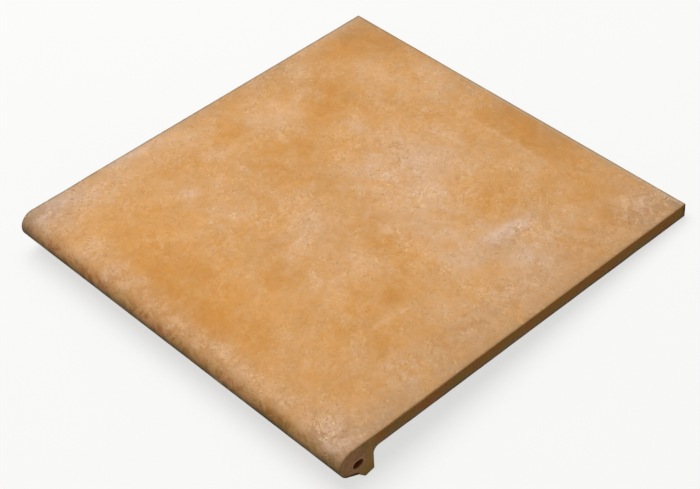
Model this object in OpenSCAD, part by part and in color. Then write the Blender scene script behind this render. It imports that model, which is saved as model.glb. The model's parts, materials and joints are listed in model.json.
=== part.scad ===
// Stair tread tile: one extruded, fired clay piece.
//
// The clay leaves the die as one long section - a flat slab, a round nosing, a lip that
// throws off the drips and covers the top of the riser - and a wire cuts it to width.
// So the whole tile is one outline, drawn in the Y-Z plane with the walking face at z = 0
// and the back edge at y = 0, and carried along X. It is then laid as it lies on a level
// floor, on the toe of its lip and its lower back arris.
// Lengths are in millimetres and angles in degrees.

/* [Slab] */
// Width of the tile, along its nosing
tread_width = 330; // [150:5:450]
// Depth of the tile, from the front of the nosing to the back edge
tread_depth = 333; // [200:1:450]
// Thickness of the slab
slab_thickness = 11.5; // [8:0.5:18]
// Radius that the die and the hand leave on every outer corner of the section
arris_radius = 0.8; // [0.3:0.1:1.5]

/* [Nosing] */
// Radius of the round front
nose_radius = 11; // [8:0.5:16]
// Slope of the chin, the flat under the round front
chin_slope = 26.5; // [10:0.5:35]
// Distance from the front back to the drip break, where the chin meets the lip
drip_setback = 15.7; // [13:0.1:20]
// Height of the lip, from the drip break down to the toe
lip_drop = 5.6; // [3:0.1:12]
// Slope of the front of the lip
lip_slope = 46; // [38:1:70]
// Width of the foot of the lip, from its toe to its heel
foot_width = 8.2; // [5:0.1:14]
// How far the foot rises from its toe to its heel
foot_rise = 1.6; // [0.8:0.1:2.5]
// Radius of the inside corner between the lip and the slab
seat_fillet = 5; // [1:0.5:7]

/* [Core] */
// Width of the oval core that runs through the nosing
core_width = 8.8; // [7:0.1:10]
// Height of the oval core
core_height = 6; // [3:0.1:6.9]
// Distance from the front back to the middle of the core
core_setback = 15.6; // [13:0.1:18]
// Depth of the middle of the core below the walking face
core_drop = 15.4; // [12:0.1:17]

/* [Hidden] */
$fn = 96;
arc_steps = 8;

// Points of the section, each as [y, z].
front_y = -tread_depth;
nose_centre = [front_y + nose_radius, -nose_radius];
nose_top = [nose_centre[0], 0];
chin_start = nose_centre - nose_radius * [sin(chin_slope), cos(chin_slope)];
drip_y = front_y + drip_setback;
drip_break = [drip_y, chin_start[1] - (drip_y - chin_start[0]) * tan(chin_slope)];
toe = drip_break + lip_drop * [1 / tan(lip_slope), -1];
heel = toe + [foot_width, foot_rise];
seat_corner = [heel[0], -slab_thickness];
back_top = [0, 0];
back_foot = [0, -slab_thickness];

// Where the tile touches the floor: the rounded toe and the rounded back foot have one
// radius, so the floor is parallel to the line through the middles of the two arcs.
toe_middle = arc_middle(drip_break, toe, heel, arris_radius);
foot_middle = arc_middle(seat_corner, back_foot, back_top, arris_radius);
rest_tilt = atan2(foot_middle[1] - toe_middle[1], foot_middle[0] - toe_middle[0]);

// Edges of the tile as it lies, which put the origin in the middle of its base.
top_middle = arc_middle(back_foot, back_top, nose_top, arris_radius);
laid_back_y = laid(top_middle)[0] + arris_radius;
laid_front_y = laid(nose_centre)[0] - nose_radius;
floor_z = laid(foot_middle)[1] - arris_radius;

// A point of the section, turned to the slope at which the tile lies.
function laid(p) = [
    p[0] * cos(rest_tilt) + p[1] * sin(rest_tilt),
    p[1] * cos(rest_tilt) - p[0] * sin(rest_tilt)
];

function unit(v) = v / norm(v);

// Half of the angle between the two sides that meet at corner p.
function half_angle(a, p, b) = acos(unit(a - p) * unit(b - p)) / 2;

// Middle of the arc of radius r that rounds corner p, between its neighbours a and b.
function arc_middle(a, p, b, r) =
    p + unit(unit(a - p) + unit(b - p)) * r / sin(half_angle(a, p, b));

// Points of the arc that rounds corner p, where the outline runs anticlockwise from a
// over p to b. It starts square to the side a-p and turns by as much as the outline does.
function corner_arc(a, p, b, r) = let (
    side = unit(p - a),
    first = atan2(-side[0], side[1]),
    turn = 180 - 2 * half_angle(a, p, b),
    middle = arc_middle(a, p, b, r)
) [
    for (i = [0 : arc_steps])
        let (angle = first + turn * i / arc_steps) middle + r * [cos(angle), sin(angle)]
];

// The straight sides, anticlockwise from the middle of the round front: the chin, the
// front of the lip, its foot, its back, the underside, the back edge and the walking face.
module straight_outline() {
    polygon(concat(
        [nose_centre, chin_start, drip_break],
        corner_arc(drip_break, toe, heel, arris_radius),
        corner_arc(toe, heel, seat_corner, arris_radius),
        [seat_corner],
        corner_arc(seat_corner, back_foot, back_top, arris_radius),
        corner_arc(back_foot, back_top, nose_top, arris_radius),
        [nose_top]
    ));
}

// The inside corner where the step's edge seats, filled to its radius. The square reaches
// into the clay behind both walls, so that the two shapes overlap.
module seat_fillet_outline() {
    into = seat_fillet / 2;
    difference() {
        translate(seat_corner - [into, seat_fillet]) square(seat_fillet + into);
        translate(seat_corner + [seat_fillet, -seat_fillet]) circle(seat_fillet);
    }
}

// The oval that the die's core rod leaves: two round ends and the flat between them.
module core_outline() {
    half_flat = (core_width - core_height) / 2;
    translate([front_y + core_setback, -core_drop]) {
        translate([-half_flat, 0]) circle(d = core_height);
        translate([half_flat, 0]) circle(d = core_height);
        translate([-half_flat, -core_height / 2]) square([2 * half_flat, core_height]);
    }
}

// The whole section, as it leaves the die.
module section() {
    difference() {
        union() {
            translate(nose_centre) circle(nose_radius);
            straight_outline();
            seat_fillet_outline();
        }
        core_outline();
    }
}

// The section carried along X, then turned and set down on the floor.
module tread_tile() {
    color([0.84, 0.63, 0.38])
        translate([-tread_width / 2, -(laid_front_y + laid_back_y) / 2, -floor_z])
            rotate([-rest_tilt, 0, 0])
                rotate([90, 0, 90])
                    linear_extrude(tread_width) section();
}

tread_tile();
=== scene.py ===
# %% [markdown]
# # A stair tread tile of fired clay
#
# The real tile is one piece of clay. A press drives the clay through a die, a wire cuts the
# long column to width, and the kiln turns it hard and ochre. So it has three finishes and no
# parts: a walking face with its round nosing, two ends that the wire cut, and a plain raw
# underside for the mortar.
# It could be modelled by hand, but a die makes a shape that a formula makes as well: one
# section, carried along one line. We work that out with numpy, let the clay warp and chip a
# little, and then paint the fire, the dust and the wear with nodes.

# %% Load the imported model
import json
import math

import bmesh
import bpy
import numpy as np
from mathutils import Matrix, Vector
from mathutils.geometry import delaunay_2d_cdt


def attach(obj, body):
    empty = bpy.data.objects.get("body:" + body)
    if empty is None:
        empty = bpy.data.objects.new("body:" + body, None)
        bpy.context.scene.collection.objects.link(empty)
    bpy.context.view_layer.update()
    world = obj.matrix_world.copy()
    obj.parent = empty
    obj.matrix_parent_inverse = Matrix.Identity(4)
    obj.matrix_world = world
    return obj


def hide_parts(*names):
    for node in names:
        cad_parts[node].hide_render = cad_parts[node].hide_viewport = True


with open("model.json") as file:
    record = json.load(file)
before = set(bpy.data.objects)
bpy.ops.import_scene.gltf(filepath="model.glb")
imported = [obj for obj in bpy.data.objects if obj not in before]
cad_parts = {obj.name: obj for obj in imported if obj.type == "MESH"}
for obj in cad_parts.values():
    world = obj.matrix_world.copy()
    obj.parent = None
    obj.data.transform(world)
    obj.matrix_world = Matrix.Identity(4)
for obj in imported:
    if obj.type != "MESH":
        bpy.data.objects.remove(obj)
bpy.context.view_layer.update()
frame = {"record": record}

NODE = "tread_tile"
MM = 0.001

# %% [markdown]
# ## The tile's own axes
#
# The tile lies face up on the toe of its lip and on its back edge, so it is tilted by a few
# degrees. Every size below is easier to say in the tile's own axes: x along the nosing, y
# towards the back edge and z up out of the walking face, with zero on the upper back edge.
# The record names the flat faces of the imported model, so the axes are read from those and
# nothing has to be fitted.

# %% Axes read from the named faces
faces = {mount["name"]: mount for mount in frame["record"]["mounts"]}


def face_point(name):
    """Where a named face is, as a point in millimetres."""
    return np.array(faces[name]["pos_m"]) / MM


def face_axis(name):
    """Which way a named face looks, as a unit vector."""
    axis = np.array(faces[name]["axis"])
    return axis / np.linalg.norm(axis)


up = face_axis("tread_face")
back = face_axis("back_edge_face")
along = face_axis("right_end_face")
axes = np.array([along, back, up])
# The corner where three faces meet solves three plane equations at once.
plane_offsets = np.array([
    face_point("left_end_face") @ along,
    face_point("back_edge_face") @ back,
    face_point("tread_face") @ up,
])
corner = np.linalg.solve(axes, plane_offsets)


def to_world(points):
    """Points given along the tile's own axes, in millimetres, as metres in the frame."""
    return (corner + points @ axes) * MM


def world_point(x, y, z):
    """One point of the tile as a Vector in the frame."""
    return Vector(to_world(np.array([x, y, z], dtype=float)).tolist())


print("tilt, degrees:", round(math.degrees(math.atan2(up[1], up[2])), 3))

# %% Sizes of the tile, in millimetres
width = (face_point("right_end_face") - face_point("left_end_face")) @ along
slab_thickness = (face_point("tread_face") - face_point("bed_face")) @ up
lip_back_y = (face_point("lip_back_face") - face_point("back_edge_face")) @ back
tread_depth = 333.0
arris_radius = 0.8
nose_radius = 11.0
chin_slope = math.radians(26.5)
drip_setback = 15.7
lip_drop = 5.6
lip_slope = math.radians(46)
foot_rise = 1.6
seat_fillet = 5.0
core_width = 8.8
core_height = 6.0
core_setback = 15.6
core_drop = 15.4
print("width, slab and lip, mm:", round(width, 2), round(slab_thickness, 2), round(lip_back_y, 2))

# %% [markdown]
# ## The section
#
# The die's opening is one closed outline: the walking face, the round nosing, the chin under
# it, the lip that throws off the drips, and the plain underside. It is drawn as stretches in
# the y-z plane, anticlockwise, and each stretch is a formula: a straight run or an arc. We
# could sample a curve object, but with our own points every ring of the mesh has the same
# points in the same order, and that is what makes the later steps short.

# %% Straight runs and arcs


def run(start, end, spacing):
    """Evenly spaced points from start towards end, without the end itself."""
    start = np.array(start, dtype=float)
    end = np.array(end, dtype=float)
    count = max(1, round(np.linalg.norm(end - start) / spacing))
    share = np.arange(count)[:, None] / count
    return start + share * (end - start)


def arc(centre, radius, first, last, count):
    """Points round a centre, their angle going evenly from first towards last."""
    angle = first + (last - first) * np.arange(count) / count
    return np.array(centre) + radius * np.stack([np.cos(angle), np.sin(angle)], axis=1)


def unit(vector):
    """The vector at length one."""
    return vector / np.linalg.norm(vector)


def rounded_corner(before, point, after, radius, count):
    """
    Start, points and end of the arc that rounds an outer corner. Its middle lies on the
    line that halves the corner, at the radius over the sine of half the angle.
    """
    before, point, after = (np.array(p, dtype=float) for p in (before, point, after))
    to_before = unit(before - point)
    to_after = unit(after - point)
    half = math.acos(to_before @ to_after) / 2
    middle = point + unit(to_before + to_after) * radius / math.sin(half)
    side = -to_before
    first = math.atan2(-side[0], side[1])
    last = first + math.pi - 2 * half
    end = middle + radius * np.array([math.cos(last), math.sin(last)])
    return arc(middle, radius, first, last, count), end


# %% Corners of the section
front_y = -tread_depth
nose_centre = np.array([front_y + nose_radius, -nose_radius])
nose_top = np.array([nose_centre[0], 0.0])
chin_start = nose_centre - nose_radius * np.array([math.sin(chin_slope), math.cos(chin_slope)])
drip_y = front_y + drip_setback
drip_break = np.array([drip_y, chin_start[1] - (drip_y - chin_start[0]) * math.tan(chin_slope)])
toe = drip_break + lip_drop * np.array([1 / math.tan(lip_slope), -1])
heel = np.array([lip_back_y, toe[1] + foot_rise])
seat_corner = np.array([lip_back_y, -slab_thickness])
back_foot = np.array([0.0, -slab_thickness])
back_top = np.array([0.0, 0.0])
core_centre = np.array([front_y + core_setback, -core_drop])
print("toe of the lip, mm:", np.round(toe, 2).tolist())

# %% The closed outline
# Distances between neighbouring points: close where it shows, wide on the plain underside.
FACE_SPACING = 1.5
LIP_SPACING = 1.2
LIP_BACK_SPACING = 1.6
UNDERSIDE_SPACING = 3.2
BACK_EDGE_SPACING = 1.3
NOSE_POINTS = 32
SEAT_POINTS = 7
CORNER_POINTS = 5


def section_outline():
    """Every stretch in turn: its points, and for each point the number of its stretch."""
    arris = (arris_radius, CORNER_POINTS)
    toe_arc, toe_end = rounded_corner(drip_break, toe, heel, *arris)
    heel_arc, heel_end = rounded_corner(toe, heel, seat_corner, *arris)
    foot_arc, foot_end = rounded_corner(seat_corner, back_foot, back_top, *arris)
    top_arc, top_end = rounded_corner(back_foot, back_top, nose_top, *arris)
    quarter = math.pi / 2
    fillet_middle = seat_corner + [seat_fillet, -seat_fillet]
    stretches = {
        "walking face": run(top_end, nose_top, FACE_SPACING),
        "nosing": arc(nose_centre, nose_radius, quarter, 3 * quarter - chin_slope, NOSE_POINTS),
        "chin": run(chin_start, drip_break, LIP_SPACING),
        "lip": run(drip_break, toe_arc[0], LIP_SPACING),
        "toe": toe_arc,
        "foot": run(toe_end, heel_arc[0], LIP_SPACING),
        "heel": heel_arc,
        "lip back": run(heel_end, seat_corner - [0, seat_fillet], LIP_BACK_SPACING),
        "seat": arc(fillet_middle, seat_fillet, math.pi, quarter, SEAT_POINTS),
        "underside": run(seat_corner + [seat_fillet, 0], foot_arc[0], UNDERSIDE_SPACING),
        "back foot": foot_arc,
        "back edge": run(foot_end, top_arc[0], BACK_EDGE_SPACING),
        "back arris": top_arc,
    }
    numbers = np.repeat(np.arange(len(stretches)), [len(p) for p in stretches.values()])
    return np.concatenate(list(stretches.values())), numbers, list(stretches)


outline, stretch_of, stretch_names = section_outline()
print("points round the section:", len(outline))

# %% [markdown]
# To round an edge or to wear a surface down we need to know which way is out of the clay at
# each point. For a closed outline that is the edge direction turned by a right angle. At a
# corner the two sides disagree, and the mitre rule settles it: the sum of both normals over
# one plus their product moves both sides by the same amount.

# %% Which way is out


def outward(points):
    """The mitred outward normal at each point of a closed anticlockwise outline."""
    edges = np.roll(points, -1, axis=0) - points
    edges /= np.linalg.norm(edges, axis=1, keepdims=True)
    normals = np.stack([edges[:, 1], -edges[:, 0]], axis=1)
    before = np.roll(normals, 1, axis=0)
    product = np.sum(before * normals, axis=1, keepdims=True)
    return (before + normals) / (1 + product)


outline_out = outward(outline)

# %% [markdown]
# An outline can't be moved in without end: where it turns, each little side gets shorter, and
# past nothing it would turn inside out. A side's length over the speed at which it shrinks
# says when that happens. So each point gets a limit, and a limit may rise along the outline
# only as fast as the distance from the point that sets it.

# %% How far in each point may go
# A number to divide by in place of nothing.
TINY = 1e-6


def inset_limit(points, out, safe=0.75, climb=0.7):
    """
    The depth to which each point can move in with no side of the outline folding over: the
    safe share of its own, and no more than any other's plus the climb times its distance.
    """
    side = np.roll(points, -1, axis=0) - points
    length = np.linalg.norm(side, axis=1)
    shrink = np.sum((np.roll(out, -1, axis=0) - out) * side, axis=1) / length
    when = np.where(shrink > TINY, length / np.maximum(shrink, TINY), np.inf)
    own = safe * np.minimum(when, np.roll(when, 1))
    place = np.concatenate([[0], np.cumsum(length)[:-1]])
    apart = np.abs(place[:, None] - place[None, :])
    apart = np.minimum(apart, length.sum() - apart)
    return (own[None, :] + climb * apart).min(axis=1)


outline_limit = inset_limit(outline, outline_out)
print("least and most inset, mm:", outline_limit.min().round(2), outline_limit.max().round(2))

# %% [markdown]
# ## Clay is never quite flat
#
# Green clay sags on its board and shrinks in the fire, so no face is a true plane. A sum of
# a few dozen waves, each with its own direction and phase, gives a smooth unevenness with no
# pattern in it. It is a formula in space, so two surfaces that meet get the same value where
# they meet. Everything here takes clay away and never adds any, and so the tile stays inside
# its packed size.

# %% Unevenness as a sum of waves


def unevenness(points, shortest, longest, seed, count=36):
    """
    Smooth random values from about -1 to 1. Each wave is the cosine of the place along a
    random direction, at a wavelength between shortest and longest, plus a random phase.
    """
    draw = np.random.default_rng(seed)
    directions = draw.normal(size=(count, 3))
    directions /= np.linalg.norm(directions, axis=1, keepdims=True)
    wavelengths = shortest * (longest / shortest) ** draw.random(count)
    phases = draw.uniform(0, 2 * math.pi, count)
    turns = points @ (directions * (2 * math.pi / wavelengths)[:, None]).T + phases
    return np.cos(turns).sum(axis=-1) / math.sqrt(2 * count)


def smooth_step(low, high, value):
    """0 at low and 1 at high, with a smooth rise between them. It falls if low is above high."""
    share = np.clip((value - low) / (high - low), 0, 1)
    return share * share * (3 - 2 * share)


# %% [markdown]
# ## The ends of the column
#
# The wire leaves a sharp arris, and handling rounds it by half a millimetre or so and knocks
# small chips out of the right end. The stations along the width are therefore close together
# near both ends and wide apart between them: each step is a fixed share longer than the last.

# %% Stations across the width


def stations(length, finest, growth, coarsest):
    """Places from 0 to the length, whose steps grow from both ends until they are coarsest."""
    count = math.ceil(math.log(coarsest / finest) / math.log(growth))
    near = np.concatenate([[0], np.cumsum(finest * growth ** np.arange(count))])
    middle_count = math.ceil((length - 2 * near[-1]) / coarsest)
    middle = np.linspace(near[-1], length - near[-1], middle_count + 1)
    return np.concatenate([near[:-1], middle, length - near[:-1][::-1]])


station_x = stations(width, finest=0.12, growth=1.4, coarsest=1.62)
print("stations across the width:", len(station_x))

# %% How far each arris is worn back
LEFT, RIGHT = 0, 1
ARRIS_WEAR = 0.48
LEAST_WEAR, MOST_WEAR = 0.15, 0.72
# Where the right arris is worn most, and by how much more.
WORN_Y = -258
WORN_HALF_LENGTH = 28
WORN_EXTRA = 0.75


def bell(distance, half):
    """A bell of the distance: 1 in its middle, and 1/e at the half size."""
    return np.exp(-((distance / half) ** 2))


def arris_wear(places, end):
    """
    Radius of the end arris at each place round the section: half a millimetre, more or less
    by an unevenness, and over twice as much where the right end is worn behind the nosing.
    """
    at_end = np.column_stack([np.full(len(places), end * width), places])
    slow = unevenness(at_end, 9, 60, seed=21)
    quick = unevenness(at_end, 1.5, 6, seed=22)
    wear = np.clip(ARRIS_WEAR + 0.12 * slow + 0.07 * quick, LEAST_WEAR, MOST_WEAR)
    if end == LEFT:
        return wear
    return wear + WORN_EXTRA * bell(places[:, 0] - WORN_Y, WORN_HALF_LENGTH) * (places[:, 1] > -1)


def rounding(radius, distance):
    """How deep a quarter circle of this radius lies at a distance from the edge."""
    reach = np.clip(radius - distance, 0, None)
    return radius - np.sqrt(np.clip(radius**2 - reach**2, 0, None))


# Each chip of the right end is its middle, half its length and its depth.
CHIPS = [(-41, 2.6, 0.55), (-147, 1.9, 0.45), (-203, 3.4, 0.55), (-262, 1.7, 0.5)]
CHIP_SLOPE = 0.8


def chip(places, distance, y, half_length, depth):
    """
    A chip out of the upper arris: deepest at y, shallower to both sides, and cut at a slope
    from the walking face down into the end.
    """
    share = np.clip(1 - ((places[:, 0] - y) / half_length) ** 2, 0, None)
    share = share * (places[:, 1] > -2)
    return np.clip(depth * share[:, None] - CHIP_SLOPE * distance, 0, None)


def end_inset(places, distance, end):
    """How far the section has drawn in, for each place round it and each distance in x."""
    inset = rounding(arris_wear(places, end)[:, None], distance[None, :])
    for y, half_length, depth in CHIPS if end == RIGHT else []:
        inset = np.maximum(inset, chip(places, distance[None, :], y, half_length, depth))
    return inset


# %% [markdown]
# ## The surface of the column
#
# This is the whole shape as a function of two parameters, the place round the section and
# the station across the width. The point is the section's point, moved inwards by what the
# ends, the press and the fire took away.

# %% Clay lost over the width
# Depth, shortest and longest wave, seed and count of the warp and of two finer waves.
SHRINKAGE = [(0.07, 70, 240, 31, 36), (0.03, 7, 30, 32, 36), (0.012, 3.5, 8, 33, 60)]
# Depth, place and half width of the dip behind the nosing.
DIP_DEPTH = 0.42
DIP_Y = -292
DIP_HALF_WIDTH = 13


def carried(places, x):
    """The grid of a section's places carried along x: places by stations by xyz."""
    grid = np.empty((len(places), len(x), 3))
    grid[..., 0] = x
    grid[..., 1:] = places[:, None, :]
    return grid


def clay_lost(places, x):
    """
    Depth taken off each point of the column in millimetres: a slow warp, a finer
    unevenness, and the shallow dip that the press leaves behind the round of the nosing.
    """
    grid = carried(places, x)
    dip = DIP_DEPTH * bell(places[:, 0] - DIP_Y, DIP_HALF_WIDTH) * smooth_step(-3, -1, places[:, 1])
    lost = np.repeat(dip[:, None], len(x), axis=1)
    for depth, shortest, longest, seed, count in SHRINKAGE:
        lost += np.clip(depth * (1 + unevenness(grid, shortest, longest, seed, count)), 0, None)
    return lost


def column_grid():
    """The column's points: the section's, moved inwards by everything that was lost."""
    left = end_inset(outline, station_x, LEFT)
    right = end_inset(outline, width - station_x, RIGHT)
    depth = np.maximum(left, right) + clay_lost(outline, station_x)
    depth = np.minimum(depth, outline_limit[:, None])
    grid = carried(outline, station_x)
    grid[..., 1:] -= depth[..., None] * outline_out[:, None, :]
    return grid


column = column_grid()
print("points on the column:", column.shape[0] * column.shape[1])

# %% [markdown]
# ## The core
#
# A rod in the die leaves an oval bore right through the thick of the nosing. It saves clay
# and lets the heat into the thickest part. It is the same kind of surface, an oval carried
# along x, but it runs the other way round, because its clay is outside it.

# %% The bore through the nosing
BORE_POINTS = 40
MOUTH_FLARE = 0.1
BORE_RIPPLE = 0.05


def core_ring(count):
    """
    A clockwise oval: a circle whose halves are moved apart, each by the same flat. The
    hyperbolic tangent of the cosine moves one half to the front and the other to the back.
    """
    angle = -2 * math.pi * (np.arange(count) + 0.5) / count
    flat = (core_width - core_height) / 2
    y = core_height / 2 * np.cos(angle) + flat * np.tanh(4 * np.cos(angle))
    z = core_height / 2 * np.sin(angle)
    return core_centre + np.stack([y, z], axis=1)


core = core_ring(BORE_POINTS)
core_out = outward(core[::-1])[::-1]


def core_grid():
    """The bore's wall. Its mouths flare a little, where the wire dragged the clay."""
    # Every third station is enough for it, but the last one has to be there.
    x = station_x[::3]
    x = np.append(x, width) if x[-1] < width else x
    grid = carried(core, x)
    flare = rounding(MOUTH_FLARE, np.minimum(x, width - x))[None, :]
    ripple = BORE_RIPPLE * unevenness(grid, 3, 25, seed=41)
    grid[..., 1:] += (flare + ripple)[..., None] * core_out[:, None, :]
    return grid


bore = core_grid()
print("points in the bore:", bore.shape[0] * bore.shape[1])

# %% [markdown]
# ## The two ends
#
# An end is flat, but its outline is odd and it has a hole in it, so no grid of rows and
# columns fits it without a crease. Instead we scatter points over it in even triangles,
# keep those that lie in the clay, and let a constrained Delaunay triangulation join them to
# the rim of the column and to the rim of the bore. The points are then pushed in by the
# marks of the wire, which runs from the walking face down.

# %% Points in the clay of an end


def inside(points, loop):
    """
    True for points inside a closed loop: a ray along y crosses its edges an odd number of
    times. Both are compared as whole arrays.
    """
    y, z = points[:, 0:1], points[:, 1:2]
    start = loop
    end = np.roll(loop, -1, axis=0)
    spans = (start[:, 1] > z) != (end[:, 1] > z)
    rise = np.where(end[:, 1] == start[:, 1], 1, end[:, 1] - start[:, 1])
    crossing = start[:, 0] + (z - start[:, 1]) * (end[:, 0] - start[:, 0]) / rise
    return (spans & (y < crossing)).sum(axis=1) % 2 == 1


def clearance(points, loop):
    """Distance from each point to the nearest point of the loop."""
    apart = points[:, None, :] - loop[None, :, :]
    return np.sqrt((apart**2).sum(axis=2).min(axis=1))


def lattice(rim, hole, spacing, clear_share=0.55):
    """Even triangles of points in the clay, clear of both rims by a share of the spacing."""
    row_height = spacing * math.sqrt(3) / 2
    low, high = rim.min(axis=0), rim.max(axis=0)
    rows = np.arange(low[1], high[1], row_height)
    places = np.arange(low[0], high[0], spacing)
    y, z = np.meshgrid(places, rows)
    y = y + np.where(np.arange(len(rows)) % 2, spacing / 2, 0)[:, None]
    points = np.stack([y.ravel(), z.ravel()], axis=1)
    points = points[inside(points, rim)]
    points = points[~inside(points, hole)]
    clear = np.minimum(clearance(points, rim), clearance(points, hole))
    return points[clear > clear_share * spacing]


# %% Marks of the wire
SHAKING_DEPTH = 0.10
LINE_DEPTH = 0.05
# The lines are drawn out downwards: along z they change by this share of what they do across.
LINE_DRAW = 0.12


def wire_marks(places, seed):
    """
    How deep the wire cut at each place: broad waves where it shook, and fine lines that run
    down from the walking face, because the wire went that way.
    """
    flat = np.column_stack([np.full(len(places), 10.0 * seed), places])
    shaking = SHAKING_DEPTH * (1 + unevenness(flat, 18, 70, seed))
    lines = LINE_DEPTH * (1 + unevenness(flat * [1, 1, LINE_DRAW], 0.9, 4, seed + 1, count=60))
    return np.clip(shaking, 0, None) + np.clip(lines, 0, None)


# %% Join an end to its two rims


def joined(rim, hole, fresh):
    """Triangles that fill the clay of an end, as numbers into the rim, the hole, the fresh."""
    flat = np.concatenate([rim, hole, fresh])
    loops = (np.arange(len(rim)), len(rim) + np.arange(len(hole)))
    edges = np.concatenate([np.column_stack([loop, np.roll(loop, -1)]) for loop in loops])
    vectors = [Vector(point) for point in flat.tolist()]
    result = delaunay_2d_cdt(vectors, edges.tolist(), [], 1, TINY)
    source = np.array([ids[0] for ids in result[3]])
    triangles = source[np.array(result[2])]
    middles = flat[triangles].mean(axis=1)
    return triangles[inside(middles, rim) & ~inside(middles, hole)]


def facing_out(triangles, flat, end):
    """
    The triangles, each turned round where it faces into the clay. Twice its area is the
    cross product of two sides, above 0 where it faces +x.
    """
    first, second, third = (flat[triangles[:, number]] for number in range(3))
    side, other = second - first, third - first
    area = side[:, 0] * other[:, 1] - side[:, 1] * other[:, 0]
    wrong = np.sign(area) != (1 if end == RIGHT else -1)
    return np.where(wrong[:, None], triangles[:, ::-1], triangles)


# %% Build both ends
END_SPACING = 1.5
# Rings of points round the bore follow its oval, and the lattice keeps clear of them.
RING_DISTANCES = (0.5, 1.0, 1.6)
RING_CLEARANCE = 0.8


def end_cap(rim, hole, end):
    """The new points of one end, and its triangles as numbers: the rim, the hole, the new."""
    rings = np.concatenate([hole + distance * outward(hole) for distance in RING_DISTANCES])
    field = lattice(rim, hole, END_SPACING)
    fresh = np.concatenate([rings, field[clearance(field, rings) > RING_CLEARANCE]])
    triangles = facing_out(joined(rim, hole, fresh), np.concatenate([rim, hole, fresh]), end)
    reach = np.minimum(clearance(fresh, rim), clearance(fresh, hole))
    marks = wire_marks(fresh, seed=51 + 10 * end) * smooth_step(0.4, 2.5, reach)
    x = marks if end == LEFT else width - marks
    return np.column_stack([x, fresh]), triangles


rims = [column[:, 0, 1:], column[:, -1, 1:]]
holes = [bore[::-1, 0, 1:], bore[::-1, -1, 1:]]
caps = [end_cap(rims[end], holes[end], end) for end in (LEFT, RIGHT)]
print("triangles on the ends:", [len(triangles) for _, triangles in caps])

# %% [markdown]
# ## One closed mesh
#
# The column, the bore and the two ends share their rims, so the mesh needs no welding: the
# ends simply use the numbers of the rim points. Each face also gets the number of its
# finish. There are three: the walking face, the cut ends, and the raw back.

# %% Numbers of points and faces


def grid_faces(rows, columns, first):
    """Quads of a grid that closes on itself along its rows, numbered from first."""
    row = np.arange(rows)[:, None]
    column_number = np.arange(columns - 1)[None, :]
    here = first + row * columns + column_number
    there = first + ((row + 1) % rows) * columns + column_number
    return np.stack([here, there, there + 1, here + 1], axis=-1).reshape(-1, 4)


def rim_numbers(rows, columns, first, end):
    """Numbers of the points of a grid's first or last station."""
    return first + np.arange(rows) * columns + (0 if end == LEFT else columns - 1)


# %% Put the pieces of the surface together
FACE, CUT, RAW = range(3)
FACE_STRETCHES = ("walking face", "nosing", "chin", "back arris")
finish_of_stretch = np.array([FACE if name in FACE_STRETCHES else RAW for name in stretch_names])

column_size = column.shape[:2]
bore_size = bore.shape[:2]
bore_first = column_size[0] * column_size[1]
next_number = bore_first + bore_size[0] * bore_size[1]
bore_faces = grid_faces(*bore_size, bore_first)
quads = np.concatenate([grid_faces(*column_size, 0), bore_faces])
column_finish = np.repeat(finish_of_stretch[stretch_of], column_size[1] - 1)
quad_finish = np.concatenate([column_finish, np.full(len(bore_faces), RAW)])

all_points = [column.reshape(-1, 3), bore.reshape(-1, 3)]
all_triangles = []
for end, (points, triangles) in enumerate(caps):
    column_rim = rim_numbers(*column_size, 0, end)
    bore_rim = rim_numbers(*bore_size, bore_first, end)[::-1]
    numbers = np.concatenate([column_rim, bore_rim, next_number + np.arange(len(points))])
    all_triangles.append(numbers[triangles])
    all_points.append(points)
    next_number += len(points)

tile_points = np.concatenate(all_points)
cap_triangles = np.concatenate(all_triangles)
print("triangles in all:", 2 * len(quads) + len(cap_triangles))

# %% Build the mesh
# Edges that turn by more than this stay sharp, and all others are shaded smooth.
SHARP_ANGLE = math.radians(38)


def build_mesh(name, points, four_sided, three_sided, finishes):
    """A smooth mesh from points, quads and triangles, written as whole arrays."""
    mesh = bpy.data.meshes.new(name)
    corners = np.concatenate([four_sided.ravel(), three_sided.ravel()])
    sizes = np.concatenate([np.full(len(four_sided), 4), np.full(len(three_sided), 3)])
    starts = np.concatenate([[0], np.cumsum(sizes)[:-1]])
    mesh.vertices.add(len(points))
    mesh.vertices.foreach_set("co", to_world(points).ravel())
    mesh.loops.add(len(corners))
    mesh.loops.foreach_set("vertex_index", corners)
    mesh.polygons.add(len(sizes))
    mesh.polygons.foreach_set("loop_start", starts)
    mesh.polygons.foreach_set("material_index", finishes)
    mesh.update(calc_edges=True)
    mesh.validate()
    mesh.shade_smooth()
    mesh.set_sharp_from_angle(angle=SHARP_ANGLE)
    return mesh


finishes = np.concatenate([quad_finish, np.full(len(cap_triangles), CUT)])
tile_mesh = build_mesh("fired_tread_tile", tile_points, quads, cap_triangles, finishes)
tile = bpy.data.objects.new("fired_tread_tile", tile_mesh)
bpy.context.scene.collection.objects.link(tile)
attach(tile, "root")
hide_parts(NODE)

# %% Check that the mesh is closed
check = bmesh.new()
check.from_mesh(tile_mesh)
open_edges = sum(not edge.is_manifold for edge in check.edges)
print("open edges:", open_edges, " volume, cm3:", round(check.calc_volume() * 1e6, 1))
check.free()

# %% [markdown]
# ## What the kiln, the dust and the feet left, and painted shade
#
# The real face is not one colour. The fire flashed it a deep golden ochre in patches, clay
# dust bloomed pale on it, its border is greyer, and the crest of the nosing is worn. Those
# marks have places, so they are painted on the mesh as attributes: numbers for each point,
# worked out from where the point is. Some attributes hold painted shade as well: under the
# round of the nosing, along the arrises, on the rim of the ends and inside the bore. A mark
# is a soft ellipse, and the shader later breaks its edge up with noise. An image would do as
# well, but an attribute needs no unwrapping and no file.

# %% Places on the rolled-out face


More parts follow.
